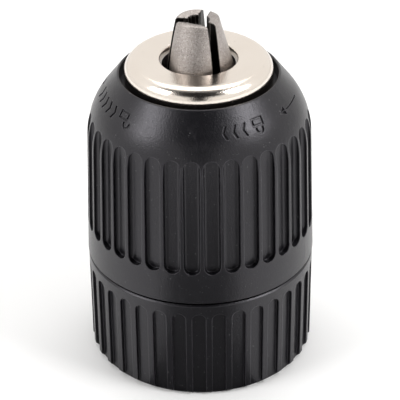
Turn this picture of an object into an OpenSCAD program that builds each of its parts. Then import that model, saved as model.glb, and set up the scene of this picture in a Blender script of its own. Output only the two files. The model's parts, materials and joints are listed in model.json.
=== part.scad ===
// Keyless drill chuck with two sleeves. Millimetres, +Z towards the jaws.
// The rear face is at z = 0 and the spindle axis is the Z axis.
// It is drawn with the jaws almost closed. Turning the front sleeve
// anticlockwise, seen from the nose, draws the jaws back and opens them.

/* [Sleeves] */
// Outside diameter of the front sleeve at the seam
sleeve_d = 43.2; // [40:0.2:52]
// How much smaller in radius the rear sleeve is
rear_inset = 0.1; // [0:0.05:0.4]
// Length of the rear sleeve
rear_len = 20.5; // [18:0.1:24]
// Gap between the two sleeves
seam_gap = 0.35; // [0.2:0.05:0.6]
// Length of the front sleeve, from the seam to its lip
front_len = 36.8; // [34:0.2:45]
// Wall of the front sleeve around the thrust bearing
front_wall = 3.0; // [2.5:0.1:3.6]
// Wall of the rear sleeve
rear_wall = 2.2; // [1.8:0.1:2.6]
// Taper of the front sleeve's grip, degrees a side
grip_taper = 1.9; // [1:0.1:3]
// Radius of the rounded shoulder
shoulder_r = 15; // [10:0.5:16]
// Slope of the cone in front of the shoulder, degrees from the axis
shoulder_slope = 38; // [34:1:44]
// Radius of the round lip at the sleeve's mouth
lip_r = 0.25; // [0.15:0.05:0.4]

/* [Flutes] */
// Flutes around each sleeve
flute_count = 36; // [24:2:40]
// Width of a front flute
front_flute_w = 3.0; // [2.4:0.1:3.1]
// Depth of a front flute
front_flute_depth = 1.1; // [0.8:0.1:1.3]
// Radius along the floor's edges in a front flute
front_flute_edge_r = 0.7; // [0.4:0.1:1]
// Smooth band below the front flutes
front_band = 6.3; // [4:0.1:8]
// Distance from the front flutes' round front ends to the sleeve's lip
front_flute_stop = 7.65; // [6:0.05:9]
// Turn of the rear flutes against the front ones, degrees
rear_phase = 3; // [0:0.5:5]
// Width of a rear flute
rear_flute_w = 2.6; // [2:0.1:2.9]
// Depth of a rear flute
rear_flute_depth = 0.7; // [0.5:0.1:1]
// Smooth band above the rear flutes
rear_band = 2.0; // [1.5:0.1:4]
// Bevel around the rear sleeve's rear edge, a little more than its flutes' depth
rear_bevel = 0.8; // [0.6:0.1:1.2]

/* [Marks on the shoulder] */
// Depth of the marks pressed into the shoulder
mark_depth = 0.35; // [0.2:0.05:0.5]
// Middle of the gripping marks, degrees from the first jaw
grip_mark = 52; // [40:1:60]
// Middle of the releasing marks, degrees from the first jaw
release_mark = -43; // [-60:1:-35]
// Width of the stroke of an arrow
stroke_w = 0.24; // [0.2:0.02:0.4]

/* [Jaws] */
// Diameter of a jaw's round rod
rod_d = 9.5; // [7.9:0.1:10]
// Angle between a jaw's rod and the spindle axis
incline = 15.65; // [14.5:0.05:16.5]
// Gap between neighbouring gripping flats, as drawn
jaw_gap = 1.54; // [1.2:0.02:2]
// Length of a jaw along its rod
jaw_len = 37.3; // [34:0.1:38]
// Height above the nose cap of a jaw's tip, on the rod's axis, as drawn
tip_stand = 6.66; // [5:0.02:8]
// Height above the nose cap at which the three rods' axes meet
apex_stand = 3.65; // [3:0.05:4.5]
// Largest shank that the jaws open to
capacity_d = 13; // [10:0.5:13]
// Bevel around a jaw's tip
tip_bevel = 0.3; // [0.2:0.05:0.6]
// Bevel around a jaw's rear end
rod_bevel = 1.3; // [1:0.1:2]
// Width of a jaw's gripping face
grip_face_w = 2.6; // [2:0.1:3]
// Grooves along the gripping face
grip_grooves = 3; // [1:1:3]
// Distance from one gripping groove to the next
grip_pitch = 0.8; // [0.7:0.05:0.9]
// Width of a gripping groove
grip_groove_w = 0.6; // [0.3:0.05:0.65]
// Depth of a gripping groove
grip_groove_depth = 0.4; // [0.2:0.02:0.5]
// Radial clearance of a jaw in its bore
bore_gap = 0.05; // [0.03:0.01:0.1]

/* [Nut] */
// Length of the nut
nut_len = 7; // [5:0.5:8.5]
// Depth of the nut's rear face behind the nose cap's face
nut_depth = 28.7; // [27:0.1:31]
// Thread pitch, measured along the spindle axis
thread_pitch = 1.5; // [1.25:0.05:1.8]
// Height of the nut's thread
thread_h = 0.8; // [0.5:0.05:0.95]
// Width of the thread at its crest
crest_w = 0.35; // [0.25:0.05:0.4]
// Width of the thread at its root
root_w = 0.85; // [0.7:0.05:0.9]
// Clearance between the thread and the jaws' teeth, at crest and root
thread_gap = 0.15; // [0.12:0.01:0.2]
// Clearance beside each flank of the thread
flank_gap = 0.2; // [0.18:0.01:0.22]
// Wall of the band around the nut
band_t = 1.2; // [0.8:0.1:1.6]
// Gap at each end of the two nut halves
split_gap = 0.25; // [0.1:0.05:0.5]

/* [Thrust bearing] */
// Ball diameter
ball_d = 2.0; // [1.6:0.1:2.4]
// Number of balls
ball_count = 24; // [18:1:26]
// Thickness of each race
race_t = 1.0; // [0.8:0.1:1.4]
// Depth of the ball track in a race
track_depth = 0.2; // [0.1:0.05:0.4]
// Clearance between a ball and its track
ball_gap = 0.04; // [0.01:0.01:0.05]
// Thickness of the ball cage
cage_t = 0.9; // [0.6:0.1:1.2]
// Wall of the cage on each side of a ball
cage_wall = 0.2; // [0.15:0.05:0.3]
// Radial clearance around the cage's balls and around each bearing ring
ring_gap = 0.1; // [0.05:0.05:0.15]

/* [Body] */
// Diameter of the hub that the spindle screws into
hub_d = 22; // [20:0.2:23]
// Diameter of the spindle bore, measured over its thread
spindle_bore_d = 12.7; // [12:0.1:13]
// Depth of the spindle bore
spindle_depth = 16.5; // [14:0.5:17]
// Diameter of the hole for the locking screw
lock_hole_d = 6.6; // [5:0.1:7]
// Thickness of the web that the locking screw's head presses on
web_t = 7.5; // [6:0.5:9]
// Diameter of the bore that takes the tool's shank
shank_bore_d = 13.5; // [13.2:0.1:13.8]
// Outside diameter of the nose
nose_d = 24.8; // [23:0.2:26]
// Radial clearance between the nose and the front sleeve
guide_gap = 0.08; // [0.05:0.01:0.1]
// Clearance between turning and fixed faces
turn_gap = 0.2; // [0.15:0.05:0.3]

/* [Nose cap] */
// Thickness of the cap's sheet
cap_t = 1.2; // [0.8:0.1:1.5]
// Diameter of the hole in the cap
cap_hole_d = 14.2; // [14:0.1:14.6]
// Radius of the bead around the cap
bead_r = 2.4; // [1.6:0.1:3]
// Radius of the rolled edge around the cap's hole
cap_edge_r = 0.45; // [0.2:0.05:0.6]
// Height of the cap's face above the front sleeve's lip
cap_stand = 2.85; // [2:0.05:4]
// Radial gap between the cap and the sleeve's mouth
mouth_gap = 0.9; // [0.5:0.1:1.4]

/* [Hidden] */
$fn = 96;
jaw_angles = [-90, 30, 150];
tiny = 0.01;
big = 60;

// Heights
seam_z = rear_len + seam_gap;
lip_z = seam_z + front_len;
cap_z = lip_z + cap_stand;
tip_z = cap_z + tip_stand;
apex_z = cap_z + apex_stand;
nut_z0 = cap_z - nut_depth;
nut_z1 = nut_z0 + nut_len;
front_race_z = nut_z0 - race_t;
ball_z = front_race_z + track_depth - ball_gap - ball_d / 2;
rear_race_z = ball_z - ball_d / 2 - ball_gap + track_depth - race_t;
web_z = spindle_depth + web_t;
drum_z = seam_z - 1.5;

// Height and radius at which a rod's axis and its outermost line stand
function axis_r(z) = (apex_z - z) * tan(incline);
function cone_r(z) = axis_r(z) + rod_d / 2 / cos(incline);

// Radii
front_r = sleeve_d / 2;
rear_r = front_r - rear_inset;
front_inner_r = front_r - front_wall;
rear_inner_r = rear_r - rear_wall;
drum_r = front_inner_r - turn_gap;
race_r1 = drum_r - ring_gap;
race_r0 = race_r1 - ball_d - 2 * cage_wall - 3 * ring_gap;
pilot_r = race_r0 - ring_gap;
ball_pitch_r = (race_r0 + race_r1) / 2;
seat_r = front_inner_r - 0.9;
nut_r = seat_r - band_t;
core_r = cone_r(nut_z1) - thread_h - 0.5;
nose_r = nose_d / 2;
cap_r = nose_r + cap_t;
mouth_r = cap_r + mouth_gap;
apex_edge_r = jaw_gap / 2 / sin(60);

grip_r = apex_edge_r + grip_face_w / 2 / tan(60);

// Travel of the jaws along the spindle axis from here to fully open
open_travel = (capacity_d / 2 - grip_r) / tan(incline);

// The front sleeve's outline: a tapered grip, a round shoulder and a cone.
// Each straight line is held as its outward normal and its distance.
function unit(a) = [cos(a), sin(a)];
function meet(a, da, b, db) =
    [da * sin(b) - db * sin(a), db * cos(a) - da * cos(b)] / sin(b - a);
lip_centre = [mouth_r + lip_r, lip_z - lip_r];
grip_line = [front_r, seam_z] * unit(grip_taper);
cone_line = lip_centre * unit(shoulder_slope) + lip_r;
shoulder_centre = meet(grip_taper, grip_line - shoulder_r,
                       shoulder_slope, cone_line - shoulder_r);
shoulder_start = shoulder_centre + shoulder_r * unit(grip_taper);
shoulder_end = shoulder_centre + shoulder_r * unit(shoulder_slope);
shell_end = shoulder_centre + (shoulder_r - front_wall) * unit(shoulder_slope);
flange_z0 = shell_end[1] - 0.3;
flange_z1 = lip_z - 2.5;
skirt_z = flange_z1 + 0.6;

ball_names = [for (i = [1:ball_count]) str("ball_", i < 10 ? "0" : "", i)];

// A ring about Z with a square section
module ring(r0, r1, z0, z1) {
    rotate_extrude() translate([r0, z0]) square([r1 - r0, z1 - z0]);
}

// Children that stand around Z
module around(count) {
    for (i = [0:count - 1]) rotate(i * 360 / count) children();
}

// Puts Z down along the rod of the jaw on the +X side, from the apex
module along_rod() {
    translate([0, 0, apex_z]) rotate([0, 180 - incline, 0]) children();
}

// ---- Chuck body ----

module body_outline() {
    polygon([
        [0, 0], [hub_d / 2 - 0.6, 0], [hub_d / 2, 0.6],
        [hub_d / 2, drum_z - 3], [drum_r - 0.5, drum_z], [drum_r, drum_z + 0.5],
        [drum_r, rear_race_z], [pilot_r, rear_race_z],
        [pilot_r, front_race_z + 0.2], [core_r, front_race_z + 0.2],
        [core_r, nut_z1 + turn_gap], [nose_r, nut_z1 + turn_gap],
        [nose_r, cap_z - bead_r], [0, cap_z - bead_r],
    ]);
    translate([nose_r - bead_r + cap_t, cap_z - bead_r]) circle(bead_r - cap_t);
    translate([0, cap_z - bead_r]) square([nose_r - bead_r + cap_t, bead_r - cap_t]);
}

module chuck_body() {
    color("silver") difference() {
        rotate_extrude() intersection() {
            body_outline();
            square([big, 2 * big]);
        }
        // Spindle bore with a countersunk mouth
        translate([0, 0, -1]) cylinder(d = spindle_bore_d, h = spindle_depth + 1);
        translate([0, 0, -1])
            cylinder(r1 = spindle_bore_d / 2 + 2, r2 = spindle_bore_d / 2 - tiny, h = 2 + tiny);
        // Locking screw
        cylinder(d = lock_hole_d, h = web_z + 1);
        // Shank bore
        translate([0, 0, web_z]) cylinder(d = shank_bore_d, h = big);
        // Jaw bores
        for (a = jaw_angles) rotate(a) along_rod()
            cylinder(r = rod_d / 2 + bore_gap, h = (apex_z - rear_len / 2) / cos(incline));
    }
}

// ---- Sleeves ----

module rear_flute() {
    floor_r = rear_r - rear_flute_depth;
    round_z = rear_len - rear_band - rear_flute_w / 2;
    translate([floor_r, -rear_flute_w / 2, -1])
        cube([5, rear_flute_w, round_z + 1]);
    translate([floor_r, 0, round_z]) rotate([0, 90, 0]) cylinder(d = rear_flute_w, h = 5);
}

module rear_sleeve() {
    color("dimgray") difference() {
        rotate_extrude() polygon([
            [hub_d / 2, 0.8], [rear_inner_r, 0.8], [rear_inner_r, 0],
            [rear_r - rear_bevel, 0], [rear_r, rear_bevel], [rear_r, rear_len - 0.3],
            [rear_r - 0.3, rear_len], [rear_inner_r, rear_len],
            [rear_inner_r, 3.3], [hub_d / 2, 3.3],
        ]);
        rotate(rear_phase) around(flute_count) rear_flute();
    }
}

// One front flute: a channel with round floor edges and round ends
module front_flute() {
    length = (front_len - front_band - front_flute_stop) / cos(grip_taper);
    half = front_flute_w / 2;
    edge = front_flute_edge_r;
    floor_r = front_r - front_band * tan(grip_taper) - front_flute_depth;
    translate([floor_r, 0, seam_z + front_band]) rotate([0, -grip_taper, 0])
        intersection() {
            linear_extrude(length) {
                translate([0, edge - half]) square([5, 2 * (half - edge)]);
                translate([edge, -half]) square([5, front_flute_w]);
                for (s = [-1, 1]) translate([edge, s * (half - edge)]) circle(edge);
            }
            union() {
                for (z = [half, length - half])
                    translate([-1, 0, z]) rotate([0, 90, 0]) cylinder(r = half, h = 8);
                translate([-1, -half, half]) cube([8, front_flute_w, length - front_flute_w]);
            }
        }
}

module front_shell() {
    rotate_extrude() difference() {
        union() {
            polygon([[0, seam_z], [front_r - 0.3, seam_z], [front_r, seam_z + 0.3],
                     shoulder_start, shoulder_end,
                     lip_centre + lip_r * unit(shoulder_slope), lip_centre,
                     [mouth_r, lip_centre[1]], [0, lip_centre[1]]]);
            intersection() {
                translate(shoulder_centre) circle(shoulder_r, $fn = 180);
                translate([0, shoulder_start[1]])
                    square([big, shoulder_end[1] - shoulder_start[1]]);
            }
            translate(lip_centre) circle(lip_r, $fn = 32);
        }
        polygon([[-1, seam_z - 1], [front_inner_r, seam_z - 1],
                 [front_inner_r, nut_z0 + 0.1], [seat_r, nut_z0 + 0.1],
                 [seat_r, nut_z1 + turn_gap], [seat_r - 0.4, nut_z1 + turn_gap],
                 [seat_r - 0.4, shoulder_start[1]], shell_end - [0, 0.3],
                 [nose_r + guide_gap, flange_z0], [nose_r + guide_gap, flange_z1],
                 [mouth_r, flange_z1], [mouth_r, lip_z + 1], [-1, lip_z + 1]]);
    }
}

// Puts a flat mark on the shoulder: its X axis runs down the slope to the
// rear and its Y axis anticlockwise, seen from the nose
module on_shoulder(a) {
    tilt = 90 - shoulder_slope + 2;
    rotate(jaw_angles[0] + a) translate([shoulder_end[0], 0, shoulder_end[1]])
        rotate([0, tilt, 0]) translate([0, 0, -mark_depth])
            linear_extrude(2) children();
}

// A padlock: the outline of its body and, apart from it, its shackle
module padlock(open) {
    shackle_r = 0.85;
    line_w = 0.38;
    body = [1.6, 2.4];
    translate([-body[0] + 0.1, -body[1] / 2]) difference() {
        square(body);
        translate([line_w, line_w]) square([body[0] - 2 * line_w, body[1] - 2 * line_w]);
    }
    translate([0.3, open ? 1.3 : 0]) difference() {
        union() {
            translate([0.35, 0]) circle(shackle_r);
            translate([0, -shackle_r]) square([0.35, 2 * shackle_r]);
        }
        translate([0.35, 0]) circle(shackle_r - line_w);
        translate([-1, line_w - shackle_r]) square([1.35, 2 * (shackle_r - line_w)]);
        translate([-1, -shackle_r - 1]) square([1, 2 * shackle_r + 2]);
    }
}

// A chevron that points anticlockwise (turn = 1) or clockwise (turn = -1)
module chevron(turn) {
    polygon([[-1.2, -0.5 * turn], [-1.2, 0], [0, 0.55 * turn], [1.2, 0],
             [1.2, -0.5 * turn], [0, 0.05 * turn]]);
}

// A thin curved arrow: head at one angle, tail at the other. Its head is in
// two halves, one on each side of the line where the shoulder meets the cone
module arrow(head, tail) {
    head_len = 1.6;
    turn = sign(head - tail);
    rotate_extrude(angle = abs(head - tail), start = jaw_angles[0] + min(head, tail))
        translate(shoulder_end) rotate(shoulder_slope - 2)
            translate([-mark_depth, -stroke_w / 2]) square([1.2, stroke_w]);
    on_shoulder(head + turn * 1.5) for (s = [-1, 1])
        polygon([[s * 0.05, 0], [s * 0.8, 0], [s * 0.05, turn * head_len]]);
}

module shoulder_marks() {
    on_shoulder(grip_mark + 8.5) padlock(false);
    for (i = [0:2]) on_shoulder(grip_mark - 1 - 6 * i) chevron(-1);
    arrow(grip_mark + 34, grip_mark + 52);
    on_shoulder(release_mark + 17) padlock(true);
    for (i = [0:4]) on_shoulder(release_mark + 7.5 - 6.5 * i) chevron(1);
    arrow(release_mark - 35, release_mark - 53);
}

module front_sleeve() {
    color("dimgray") difference() {
        front_shell();
        around(flute_count) front_flute();
        shoulder_marks();
    }
}

// ---- Nose cap ----

module cap_outline(inset) {
    bead_x = cap_r - bead_r;
    translate([bead_x, cap_z - bead_r]) circle(bead_r - inset);
    translate([0, cap_z - bead_r]) square([bead_x, bead_r - inset]);
    translate([0, skirt_z - inset]) square([cap_r - inset, cap_z - bead_r - skirt_z + inset]);
}

module nose_cap() {
    color("antiquewhite") rotate_extrude() difference() {
        cap_outline(0);
        cap_outline(cap_t);
        translate([-big, 0]) square([big + cap_hole_d / 2, 2 * big]);
        translate([cap_hole_d / 2, cap_z - cap_edge_r]) difference() {
            square(2 * cap_edge_r, center = true);
            translate([cap_edge_r, 0]) circle(cap_edge_r);
            translate([0, -cap_edge_r]) square([cap_edge_r, cap_edge_r]);
            translate([cap_edge_r, -cap_edge_r]) square(2 * cap_edge_r);
        }
    }
}

// ---- Jaws ----

// A sharp groove that goes down from the X axis
module grip_groove() {
    polygon([[-grip_groove_w / 2, 0.1], [0, -grip_groove_depth], [grip_groove_w / 2, 0.1]]);
}

// Section of the gripping end: a blunt wedge with grooves along its gripping
// face and one more along each flank
module wedge_section() {
    half = grip_face_w / 2;
    reach = big / 4;
    flank_t = half / sin(60) + grip_groove_w / 2 + 0.15;
    difference() {
        polygon([[grip_r, half], [apex_edge_r + reach, reach * tan(60)],
                 [apex_edge_r + reach, -reach * tan(60)], [grip_r, -half]]);
        for (i = [0:grip_grooves - 1])
            translate([grip_r, (i - (grip_grooves - 1) / 2) * grip_pitch])
                rotate(90) grip_groove();
        for (side = [-1, 1])
            translate([apex_edge_r + flank_t * cos(60), side * flank_t * sin(60)])
                rotate(90 - 30 * side) grip_groove();
    }
}

// The ring-shaped groove that one turn of the nut's thread runs in
module tooth_groove(phase) {
    z = (nut_z0 + nut_z1) / 2 + phase;
    r = cone_r(z);
    slope = tan(incline);
    depth = thread_h + thread_gap;
    w0 = crest_w / 2 + flank_gap;
    w1 = root_w / 2 + flank_gap;
    flank = (w1 - w0) / depth;
    w2 = w1 + flank * 1.5;
    rotate_extrude(angle = 90, start = -45) polygon([
        [r - depth - slope * w0, z + w0], [r + 1.5 - slope * w2, z + w2],
        [r + 1.5 + slope * w2, z - w2], [r - depth + slope * w0, z - w0],
    ]);
}

module jaw(index) {
    a = jaw_angles[index];
    turn = a / 360;
    phase = thread_pitch * (turn > 0.5 ? turn - 1 : turn);
    step = thread_pitch / cos(incline);
    tip_s = (apex_z - tip_z) / cos(incline);
    end_s = tip_s + jaw_len;
    end_z = apex_z - end_s * cos(incline);
    rear_teeth = ceil(((nut_z0 + nut_z1) / 2 - end_z) / thread_pitch);
    reach = nut_len / 2 + open_travel + root_w / 2 + flank_gap;
    front_teeth = floor((reach - phase) / thread_pitch);
    color("gray") rotate(a) difference() {
        intersection() {
            along_rod() {
                translate([0, 0, tip_s])
                    cylinder(r1 = rod_d / 2 - tip_bevel, r2 = rod_d / 2, h = tip_bevel);
                translate([0, 0, tip_s + tip_bevel])
                    cylinder(d = rod_d, h = jaw_len - tip_bevel - rod_bevel);
                translate([0, 0, end_s - rod_bevel])
                    cylinder(r1 = rod_d / 2, r2 = rod_d / 2 - rod_bevel, h = rod_bevel);
            }
            linear_extrude(tip_z + rod_d) wedge_section();
        }
        for (n = [-front_teeth:rear_teeth])
            translate([sin(incline) * step * n, 0, -cos(incline) * step * n])
                tooth_groove(phase);
    }
}

module jaw_1() { jaw(0); }
module jaw_2() { jaw(1); }
module jaw_3() { jaw(2); }

// ---- Nut ----

// The nut's tapered inner thread: a ridge swept along a helix
module thread_ridge() {
    steps = 36;
    turns = ceil(nut_len / thread_pitch) + 2;
    mid_z = (nut_z0 + nut_z1) / 2;
    last = turns * steps;
    root_in = 0.4;
    grow = (root_w - crest_w) / thread_h;
    points = [for (i = [0:last])
        let (angle = 360 * (i / steps - turns / 2), z = mid_z + thread_pitch * angle / 360)
            for (corner = [[-thread_h, -crest_w / 2], [-thread_h, crest_w / 2],
                           [root_in, (root_w + grow * root_in) / 2],
                           [root_in, -(root_w + grow * root_in) / 2]])
                let (r = cone_r(z + corner[1]) + corner[0])
                    [r * cos(angle), r * sin(angle), z + corner[1]]];
    sides = [for (i = [0:last - 1], k = [0:3])
        let (a = 4 * i + k, b = 4 * i + (k + 1) % 4)
            for (f = [[a, a + 4, b], [b, a + 4, b + 4]]) f];
    ends = [[0, 1, 2], [0, 2, 3],
            [4 * last, 4 * last + 2, 4 * last + 1], [4 * last, 4 * last + 3, 4 * last + 2]];
    polyhedron(points, concat(sides, ends));
}

module nut_half(side) {
    hollow = thread_gap;
    color("darkgray") intersection() {
        union() {
            rotate_extrude() polygon([
                [cone_r(nut_z0) + hollow, nut_z0], [nut_r, nut_z0],
                [nut_r, nut_z1], [cone_r(nut_z1) + hollow, nut_z1],
            ]);
            thread_ridge();
        }
        rotate(side) translate([split_gap / 2, -big / 2, nut_z0])
            cube([big / 2, big, nut_len]);
    }
}

module nut_half_a() { nut_half(0); }
module nut_half_b() { nut_half(180); }
module nut_band() { color("slategray") ring(nut_r, seat_r, nut_z0 + 0.1, nut_z1 - 0.1); }

// ---- Thrust bearing ----

module race(z) {
    color("lightgray") rotate_extrude() difference() {
        translate([race_r0, z]) square([race_r1 - race_r0, race_t]);
        translate([ball_pitch_r, ball_z]) circle(ball_d / 2 + ball_gap);
    }
}

module front_race() { race(front_race_z); }
module rear_race() { race(rear_race_z); }

module ball_cage() {
    color("goldenrod") difference() {
        ring(race_r0 + ring_gap, race_r1 - ring_gap, ball_z - cage_t / 2, ball_z + cage_t / 2);
        around(ball_count) translate([ball_pitch_r, 0, ball_z - cage_t])
            cylinder(d = ball_d + ring_gap, h = 2 * cage_t);
    }
}

module ball(index) {
    color("white") rotate(index * 360 / ball_count) translate([ball_pitch_r, 0, ball_z])
        sphere(d = ball_d);
}

chuck_body();
rear_sleeve();
nose_cap();
rear_race();
front_sleeve();
nut_half_a();
nut_half_b();
nut_band();
front_race();
jaw_1();
jaw_2();
jaw_3();
ball_cage();
for (i = [1:ball_count]) {
    ball(i - 1);
}
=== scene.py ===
# %% [markdown]
# # A keyless drill chuck
# A keyless chuck holds a drill bit in three steel jaws. Its working parts come
# from the CAD model, which is loaded first and stays where it is. This lesson
# gives each part the finish of its real material and cuts the one detail that
# the CAD model leaves plain, the thread inside the spindle bore. Everything is
# in metres, in the frame of the CAD model: the rear face lies at z = 0 and the
# jaws point up.

# %% Load the CAD model
import json
import math

import bpy
from mathutils import Matrix, Vector


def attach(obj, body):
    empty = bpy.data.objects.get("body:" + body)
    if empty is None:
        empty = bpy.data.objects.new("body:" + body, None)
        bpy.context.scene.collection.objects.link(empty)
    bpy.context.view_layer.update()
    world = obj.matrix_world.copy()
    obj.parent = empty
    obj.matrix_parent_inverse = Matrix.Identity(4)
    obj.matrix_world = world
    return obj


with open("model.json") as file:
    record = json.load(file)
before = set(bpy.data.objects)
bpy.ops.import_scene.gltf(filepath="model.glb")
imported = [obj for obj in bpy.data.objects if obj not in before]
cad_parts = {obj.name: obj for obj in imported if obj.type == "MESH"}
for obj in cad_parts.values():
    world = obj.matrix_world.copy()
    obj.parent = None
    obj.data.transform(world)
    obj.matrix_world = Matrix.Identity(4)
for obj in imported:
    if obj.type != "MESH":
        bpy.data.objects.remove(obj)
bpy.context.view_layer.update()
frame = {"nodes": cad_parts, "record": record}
nodes = frame["nodes"]
MM = 0.001

# %% [markdown]
# A material is easier to read as a sum than as boxes and wires. `Value` wraps
# one socket, and its operators add Math nodes, so `0.4 + 0.1 * grain` is the
# shader itself. Colours and vectors stay out of it, because a Math node would
# turn them grey: `Shader.blend` mixes colours, and Vector Math nodes turn a
# vector into a number.

# %% Numbers that vary over a surface


class Value:
    """One number socket that can be added, multiplied and limited."""

    def __init__(self, tree, socket):
        self.tree = tree
        self.socket = socket

    def math(self, operation, first, second=0.0):
        node = self.tree.node("ShaderNodeMath", {"operation": operation}, {0: first, 1: second})
        return Value(self.tree, node.outputs[0])

    def __add__(self, other):
        return self.math("ADD", self, other)

    def __sub__(self, other):
        return self.math("SUBTRACT", self, other)

    def __rsub__(self, other):
        return self.math("SUBTRACT", other, self)

    def __mul__(self, other):
        return self.math("MULTIPLY", self, other)

    __radd__ = __add__
    __rmul__ = __mul__

    def size(self):
        """The value without its sign."""
        return self.math("ABSOLUTE", self)

    def least(self, other):
        return self.math("MINIMUM", self, other)

    def most(self, other):
        return self.math("MAXIMUM", self, other)

    def ramp(self, low, high):
        """0 below one value, 1 above another, and smooth between them."""
        node = self.tree.node("ShaderNodeMapRange", {"interpolation_type": "SMOOTHSTEP"},
                              {"Value": self, "From Min": low, "From Max": high})
        return Value(self.tree, node.outputs["Result"])


print("Value can add, subtract, multiply, compare and ramp")

# %% [markdown]
# `Tree` adds nodes to any node tree, and the studio's backdrop uses it too.
# `Shader` is the tree of a material and keeps its Principled surface at hand.
# A value that is the same all over is set once, by name, when the material is
# made. What varies is linked later with `set`. Patterns are read from Object
# coordinates, so a speck stays on its part when the part moves.

# %% Node trees and materials


class Tree:
    """A node tree that grows by one node at a time."""

    def __init__(self, tree):
        self.tree = tree

    def node(self, kind, settings=None, inputs=None):
        node = self.tree.nodes.new(kind)
        for name, value in (settings or {}).items():
            setattr(node, name, value)
        for key, value in (inputs or {}).items():
            self.link(value, node.inputs[key])
        return node

    def link(self, value, socket):
        source = value.socket if isinstance(value, Value) else value
        if isinstance(source, bpy.types.NodeSocket):
            self.tree.links.new(source, socket)
        else:
            socket.default_value = source

    def along(self, vector, way):
        """How far a vector reaches in one direction."""
        node = self.node("ShaderNodeVectorMath", {"operation": "DOT_PRODUCT"},
                         {0: vector, 1: way})
        return Value(self, node.outputs["Value"])


class Shader(Tree):
    """A material's node tree, with its Principled surface ready."""

    def __init__(self, name, **fixed):
        self.material = bpy.data.materials.new(name)
        self.material.use_nodes = True
        super().__init__(self.material.node_tree)
        self.surface = self.tree.nodes["Principled BSDF"]
        for socket, value in fixed.items():
            self.surface.inputs[socket.replace("_", " ")].default_value = value
        self.place = self.node("ShaderNodeTexCoord").outputs["Object"]

    def set(self, **links):
        for socket, value in links.items():
            self.link(value, self.surface.inputs[socket.replace("_", " ")])

    def noise(self, size, detail=2.0, roughness=0.5, stretch=(1, 1, 1)):
        """Cloudy noise whose blobs are about size metres across."""
        place = self.node("ShaderNodeMapping", {}, {"Vector": self.place, "Scale": stretch})
        node = self.node("ShaderNodeTexNoise", {},
                         {"Vector": place.outputs[0], "Scale": 1 / size,
                          "Detail": detail, "Roughness": roughness})
        return Value(self, node.outputs["Fac"])

    def dots(self, spacing, radius):
        """Small round specks: 1 in the middle of a speck, 0 outside it."""
        node = self.node("ShaderNodeTexVoronoi", {"feature": "F1"},
                         {"Vector": self.place, "Scale": 1 / spacing})
        return 1.0 - Value(self, node.outputs["Distance"]).ramp(0.3 * radius, radius)

    def blend(self, amount, first, second):
        node = self.node("ShaderNodeMix", {"data_type": "RGBA"}, {0: amount, 6: first, 7: second})
        return node.outputs[2]

    def soft_edge(self, radius):
        """The surface's direction, with its sharp edges rounded."""
        return self.node("ShaderNodeBevel", {"samples": 6}, {"Radius": radius}).outputs[0]

    def edge_highlight(self, softened):
        """1 along the edges, where the softened surface leans away from the true one: the mask of
        the painted highlight.
        """
        straight = self.node("ShaderNodeNewGeometry").outputs["Normal"]
        leaning, level = 0.80, 0.985
        return 1.0 - self.along(softened, straight).ramp(leaning, level)

    def bump(self, height, distance, strength=1.0, normal=None):
        inputs = {"Height": height, "Distance": distance, "Strength": strength}
        if normal is not None:
            inputs["Normal"] = normal
        return self.node("ShaderNodeBump", {}, inputs).outputs["Normal"]


def grey(level, warm=0.0):
    """An opaque grey, a little warmer than neutral where warm is above 0."""
    return (level * (1 + warm), level, level * (1 - warm), 1.0)


def paint(names, shader):
    """Give CAD nodes their finish."""
    for name in names:
        mesh = nodes[name].data
        mesh.materials.clear()
        mesh.materials.append(shader.material)
    print(shader.material.name, "is on", ", ".join(names))


# %% [markdown]
# ## Nylon on the two sleeves
# The sleeves are moulded in black nylon with short glass fibres. The mould is
# lightly sparked, so the skin is satin with a fine grain, and a few fibre ends
# show as grey specks. The plastic is almost black: what one sees is mostly the
# studio, mirrored softly, so the roughness and the grain do the work. Moulded
# edges are never sharp, so a Bevel node rounds the way that they catch light,
# and their colour is painted a little lighter: a painted highlight.

# %% Black nylon


def make_nylon():
    s = Shader("black_nylon", Specular_IOR_Level=0.5, Specular_Tint=(0.955, 0.93, 1.0, 1))
    cloud = s.noise(12 * MM, 3.0)
    grain = s.noise(0.3 * MM, 2.0, 0.6)
    scuff = s.noise(1.6 * MM, 4.0, 0.65, stretch=(1, 1, 0.25)).ramp(0.52, 0.78)
    specks = s.dots(0.75 * MM, 0.13) + s.dots(1.7 * MM, 0.1)
    softened = s.soft_edge(0.26 * MM)
    edges = s.edge_highlight(softened)
    base = s.blend(cloud, (0.0025, 0.0025, 0.0035, 1), (0.0045, 0.0044, 0.0058, 1))
    base = s.blend(0.5 * scuff, base, (0.010, 0.0095, 0.011, 1))
    # The edges are painted lighter: a painted highlight where the ridges catch light.
    base = s.blend(edges * (0.4 + 0.6 * cloud), base, (0.050, 0.047, 0.056, 1))
    s.set(Base_Color=s.blend(0.5 * specks, base, grey(0.15)),
          Roughness=0.22 + 0.08 * cloud + 0.1 * grain + 0.07 * scuff,
          Normal=s.bump(grain, 0.06 * MM, 0.7, softened))
    return s


paint(["front_sleeve", "rear_sleeve"], make_nylon())

# %% [markdown]
# ## Nickel on the nose cap
# The cap is pressed from sheet steel and plated with satin nickel, a slightly
# warm metal. Its face is smooth enough to mirror the jaws. The plating has a
# fine pebbled skin, which breaks the edge of each reflection into specks, and
# a few tiny pits.

# %% Satin nickel


def make_nickel():
    s = Shader("satin_nickel", Metallic=1.0)
    haze = s.noise(9 * MM, 3.0)
    pebble = s.noise(0.24 * MM, 2.0, 0.6)
    pits = s.dots(2.3 * MM, 0.06)
    metal = s.blend(haze, (0.78, 0.705, 0.63, 1), (0.86, 0.795, 0.725, 1))
    s.set(Base_Color=s.blend(0.7 * pits, metal, (0.12, 0.09, 0.07, 1)),
          Roughness=0.1 + 0.06 * haze + 0.08 * pebble,
          Normal=s.bump(pebble, 0.028 * MM, 0.8))
    return s


paint(["nose_cap"], make_nickel())
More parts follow.
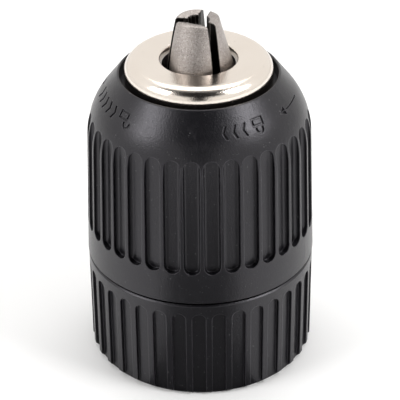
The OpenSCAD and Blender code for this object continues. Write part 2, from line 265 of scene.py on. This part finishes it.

# %% [markdown]
# ## Blasted steel on the jaws
# A jaw is ground from a round rod, hardened and blasted with grit. Blasting
# leaves a grey, slightly warm skin full of tiny dark craters, so it needs a
# rougher finish and a stronger grain than any other part. The faces that grip
# and the flanks beside them are painted near black, as painted shade between
# the jaws. They lie close to the three planes that part the jaws, or close to
# the spindle axis, so their distance from those picks them out.

# %% Blasted steel


PARTING_ANGLES = (-30, 90, 210)
FLANK_GAP = 0.77 * MM
GRIP_RADIUS = 2.0 * MM
FAR = 1.0


def painted_shade_mask(s):
    """1 on the gripping faces and their flanks, where shade is painted, 0 on the round outside.
    """
    gap = FAR
    for angle in PARTING_ANGLES:
        way = Vector((math.cos(math.radians(angle)), math.sin(math.radians(angle)), 0))
        side = s.along(s.place, Vector((way.y, -way.x, 0)))
        behind = s.along(s.place, way) * -1.0
        gap = side.size().most(behind).least(gap)
    flat = s.node("ShaderNodeVectorMath", {"operation": "MULTIPLY"}, {0: s.place, 1: (1, 1, 0)})
    reach = s.node("ShaderNodeVectorMath", {"operation": "LENGTH"}, {0: flat.outputs[0]})
    flank = 1.0 - gap.ramp(FLANK_GAP + 0.05 * MM, FLANK_GAP + 0.2 * MM)
    face = 1.0 - Value(s, reach.outputs["Value"]).ramp(GRIP_RADIUS, GRIP_RADIUS + 0.15 * MM)
    return flank.most(face)


def make_blasted_steel():
    s = Shader("blasted_steel", Metallic=1.0)
    cloud = s.noise(3 * MM, 3.0)
    grit = s.noise(0.26 * MM, 3.0, 0.7)
    craters = s.dots(0.4 * MM, 0.3)
    metal = s.blend(cloud, (0.29, 0.26, 0.245, 1), (0.40, 0.365, 0.345, 1))
    metal = s.blend(0.55 * grit.ramp(0.48, 0.66), metal, (0.66, 0.61, 0.585, 1))
    metal = s.blend(0.75 * craters, metal, grey(0.07, 0.05))
    # The gripping faces and flanks are painted near black: painted shade between the jaws.
    s.set(Base_Color=s.blend(0.93 * painted_shade_mask(s), metal, grey(0.012, 0.04)),
          Roughness=0.22 + 0.1 * cloud + 0.14 * grit,
          Normal=s.bump(grit - 0.6 * craters, 0.07 * MM, 0.8, s.soft_edge(0.2 * MM)))
    return s


paint(["jaw_1", "jaw_2", "jaw_3"], make_blasted_steel())

# %% [markdown]
# ## Turned, ground and pressed metal
# The body, the nut and the bearing sit inside and show only through the nose
# hole, at the rear and in a cutaway. The body is turned steel, so its tool
# marks run around the spindle: noise squeezed along Z gives rings. The nut is
# darker, the balls and races are ground bright, and the cage is brass.

# %% Inner metals


def make_turned_steel(name, dark, light, roughness):
    s = Shader(name, Metallic=1.0)
    rings = s.noise(0.5 * MM, 2.0, stretch=(0.02, 0.02, 2.5))
    stain = s.noise(6 * MM, 4.0, 0.6)
    s.set(Base_Color=s.blend(stain, dark, light),
          Roughness=roughness + 0.12 * rings + 0.08 * stain,
          Normal=s.bump(rings, 0.01 * MM, 0.5, s.soft_edge(0.15 * MM)))
    return s


def make_ground_steel():
    s = Shader("ground_steel", Metallic=1.0)
    haze = s.noise(1.2 * MM, 3.0)
    s.set(Base_Color=s.blend(haze, grey(0.55), grey(0.66)), Roughness=0.08 + 0.1 * haze)
    return s


def make_brass():
    s = Shader("cage_brass", Metallic=1.0)
    tarnish = s.noise(2 * MM, 4.0, 0.6)
    s.set(Base_Color=s.blend(tarnish, (0.62, 0.42, 0.17, 1), (0.78, 0.58, 0.28, 1)),
          Roughness=0.22 + 0.2 * tarnish)
    return s


turned = make_turned_steel("turned_steel", grey(0.40, 0.03), grey(0.54, 0.03), 0.2)
paint(["chuck_body"], turned)
paint(["nut_half_a", "nut_half_b", "nut_band"],
      make_turned_steel("nut_steel", grey(0.22, 0.02), grey(0.33, 0.02), 0.28))
balls = [name for name in nodes if name.startswith("ball_") and name != "ball_cage"]
paint(["front_race", "rear_race"] + balls, make_ground_steel())
paint(["ball_cage"], make_brass())

# %% [markdown]
# ## The thread in the spindle bore
# The drill's spindle screws into the rear of the body. The CAD model holds the
# bore at the thread's outside diameter, and the thread itself is a ridge that
# winds up its wall. It could be drawn point by point, but a Screw modifier is
# simpler: it carries one flat profile around Z while lifting it by the pitch.
# The profile starts as a plane, wide at its root in the wall, whose inner edge
# is then narrowed to the crest.

# %% Spindle thread
PITCH = 1.27 * MM
CREST_R = 5.68 * MM
ROOT_W = 0.86 * PITCH
CREST_SHARE = 0.2
THREAD_START = 1.5 * MM
STEPS_A_TURN = 48

mount = next(m for m in frame["record"]["mounts"] if m["name"] == "spindle_thread")
bore_r = mount["dims"]["r_mm"] * MM
thread_turns = int((mount["dims"]["length_mm"] * MM - THREAD_START) / PITCH)
ridge_h = bore_r - CREST_R

bpy.ops.object.select_all(action="DESELECT")
bpy.ops.mesh.primitive_plane_add(size=1.0, location=((bore_r + CREST_R) / 2, 0, THREAD_START),
                                 rotation=(math.radians(90), 0, 0))
thread = bpy.context.object
thread.name = "spindle_thread"
thread.scale = (ridge_h, ROOT_W, 1.0)
bpy.ops.object.transform_apply(location=True, rotation=True, scale=True)
bpy.ops.object.mode_set(mode="EDIT")
bpy.ops.mesh.select_all(action="DESELECT")
bpy.ops.object.mode_set(mode="OBJECT")
for vertex in thread.data.vertices:
    vertex.select = vertex.co.x < CREST_R + 0.1 * ridge_h
bpy.ops.object.mode_set(mode="EDIT")
bpy.ops.transform.resize(value=(1, 1, CREST_SHARE),
                         center_override=(CREST_R, 0, THREAD_START))
bpy.ops.mesh.select_all(action="SELECT")
bpy.ops.mesh.delete(type="ONLY_FACE")
bpy.ops.object.mode_set(mode="OBJECT")

winding = thread.modifiers.new("winding", "SCREW")
winding.axis = "Z"
winding.screw_offset = PITCH
winding.iterations = thread_turns
winding.steps = winding.render_steps = STEPS_A_TURN
winding.use_smooth_shade = False
bpy.ops.object.modifier_apply(modifier=winding.name)

bpy.ops.object.mode_set(mode="EDIT")
bpy.ops.mesh.select_all(action="SELECT")
bpy.ops.mesh.remove_doubles(threshold=0.001 * MM)
bpy.ops.mesh.fill_holes(sides=4)
bpy.ops.mesh.normals_make_consistent(inside=False)
bpy.ops.object.mode_set(mode="OBJECT")
bpy.ops.object.shade_smooth_by_angle(angle=math.radians(35))
thread.data.materials.append(turned.material)
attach(thread, "body")
print("Thread turns:", thread_turns, "faces:", len(thread.data.polygons))

# %% [markdown]
# ## Camera
# The camera looks down by about thirty degrees through a long lens, from a
# third of a metre away, so the upright sides stay nearly parallel.

# %% Camera
AIM = Vector((0, 0, 32.8 * MM))
DISTANCE = 320.6 * MM
TURN = math.radians(24.2)
TILT = math.radians(31.47)
ROLL = math.radians(-0.6)
SENSOR = 36.0
LENS = 152.3
SHIFT = -0.0319


def direction(turn, tilt):
    """The unit vector from the chuck towards an angle around it and a height."""
    return Vector((math.sin(turn) * math.cos(tilt), -math.cos(turn) * math.cos(tilt),
                   math.sin(tilt)))


camera_data = bpy.data.cameras.new("camera")
camera = bpy.data.objects.new("camera", camera_data)
bpy.context.scene.collection.objects.link(camera)
away = direction(TURN, TILT)
facing = (-away).to_track_quat("-Z", "Y").to_matrix().to_4x4()
camera.matrix_world = (Matrix.Translation(AIM + away * DISTANCE) @ facing
                       @ Matrix.Rotation(ROLL, 4, "Z"))
camera_data.sensor_width = SENSOR
camera_data.lens = LENS
camera_data.shift_y = SHIFT
camera_data.clip_start = 0.01
bpy.context.scene.camera = camera
print("Camera height in mm:", round(camera.location.z / MM))

# %% [markdown]
# ## Floor
# A white floor is enough for a small object. It is one big plane, so no edge of
# it comes into view from any side.

# %% Floor
FLOOR_SIZE = 4.0
bpy.ops.object.select_all(action="DESELECT")
bpy.ops.mesh.primitive_plane_add(size=FLOOR_SIZE, location=(0, 0, 0))
floor = bpy.context.object
floor.name = "floor"
floor_shader = Shader("white_floor", Roughness=0.8, Specular_IOR_Level=0.2)
floor_shader.set(Base_Color=grey(0.93))
floor.data.materials.append(floor_shader.material)

# %% [markdown]
# ## Black card
# The upright walls of the sleeves mirror the floor in front of them, so a black
# card lies there and keeps the front of the plastic deep. It is a triangle that
# points at the chuck. Like a lamp it shows in reflections and is not seen
# itself, which keeps the floor plain, and it casts no shadow.

# %% Black card
CARD_R = 80 * MM
CARD_LIFT = Vector((0, 0, 0.3 * MM))
bpy.ops.object.select_all(action="DESELECT")
bpy.ops.mesh.primitive_circle_add(vertices=3, radius=CARD_R, fill_type="NGON",
                                  location=direction(TURN, 0) * CARD_R + CARD_LIFT,
                                  rotation=(0, 0, TURN))
card = bpy.context.object
card.name = "black_card"
card.visible_camera = card.visible_diffuse = card.visible_shadow = False
card_shader = Shader("black_card", Roughness=0.9)
card_shader.set(Base_Color=grey(0.18))
card.data.materials.append(card_shader.material)
print("On the stage:", floor.name, card.name)

# %% [markdown]
# ## Tent
# Black plastic and bright plating are shot inside a white tent with one opening
# for the lens. The plastic shows the tent as soft grey along its sides and the
# opening as the dark patch in front. A real tent would need a mesh and many
# lamps. The world can be one instead: a plain white whose strength falls inside
# the opening, worked out from the direction that a ray leaves in.

# %% Tent
TENT = 1.0
DARK = 0.005
# The opening is an upright slot with a wide slot across its top. Each has its
# height, half its width and half its height, as seen from the chuck.
SLOTS = ((0.25, 0.20, 0.72), (0.73, 0.64, 0.27))

world = bpy.data.worlds.new("tent")
bpy.context.scene.world = world
world.use_nodes = True
tent = Tree(world.node_tree)
seen = tent.node("ShaderNodeTexCoord").outputs["Generated"]
sideways = tent.along(seen, Vector((math.cos(TURN), math.sin(TURN), 0)))
upwards = tent.along(seen, Vector((0, 0, 1)))
in_front = tent.along(seen, direction(TURN, 0)).ramp(-0.05, 0.05)
cloth = 1.0
for height, half_width, half_height in SLOTS:
    wide = sideways * (1 / half_width)
    high = (upwards - height) * (1 / half_height)
    cloth = cloth * (wide * wide + high * high).ramp(0.55, 1.5)
strength = TENT - (TENT - DARK) * in_front * (1.0 - cloth)
background = tent.tree.nodes["Background"]
tent.link(strength, background.inputs["Strength"])
background.inputs["Color"].default_value = (1.0, 0.985, 0.965, 1)
print("Tent opening slots:", len(SLOTS))

# %% [markdown]
# ## Boxes
# Two side boxes and a box above add the brighter edges. Area lamps are used,
# because they have a size and so give soft highlights and soft shadows.

# %% Boxes


def add_light(name, turn, tilt, distance, size, power):
    """A soft box that looks at the chuck from an angle around it and a height."""
    data = bpy.data.lights.new(name, "AREA")
    data.shape = "RECTANGLE"
    data.size, data.size_y = size
    data.energy = power
    light = bpy.data.objects.new(name, data)
    bpy.context.scene.collection.objects.link(light)
    way = direction(math.radians(turn), math.radians(tilt))
    light.location = AIM + way * distance
    light.rotation_euler = (-way).to_track_quat("-Z", "Y").to_euler()


add_light("left_box", -42, 36, 0.7, (0.24, 0.34), 1.9)
add_light("right_box", 93, 42, 0.7, (0.24, 0.34), 2.5)
add_light("back_box", 204, 72, 0.7, (0.6, 0.3), 1.5)

# %% [markdown]
# ## Display
# The display is set to plain sRGB, so white cloth comes out white and the
# plastic keeps its depth.

# %% Display
bpy.context.scene.view_settings.view_transform = "Standard"
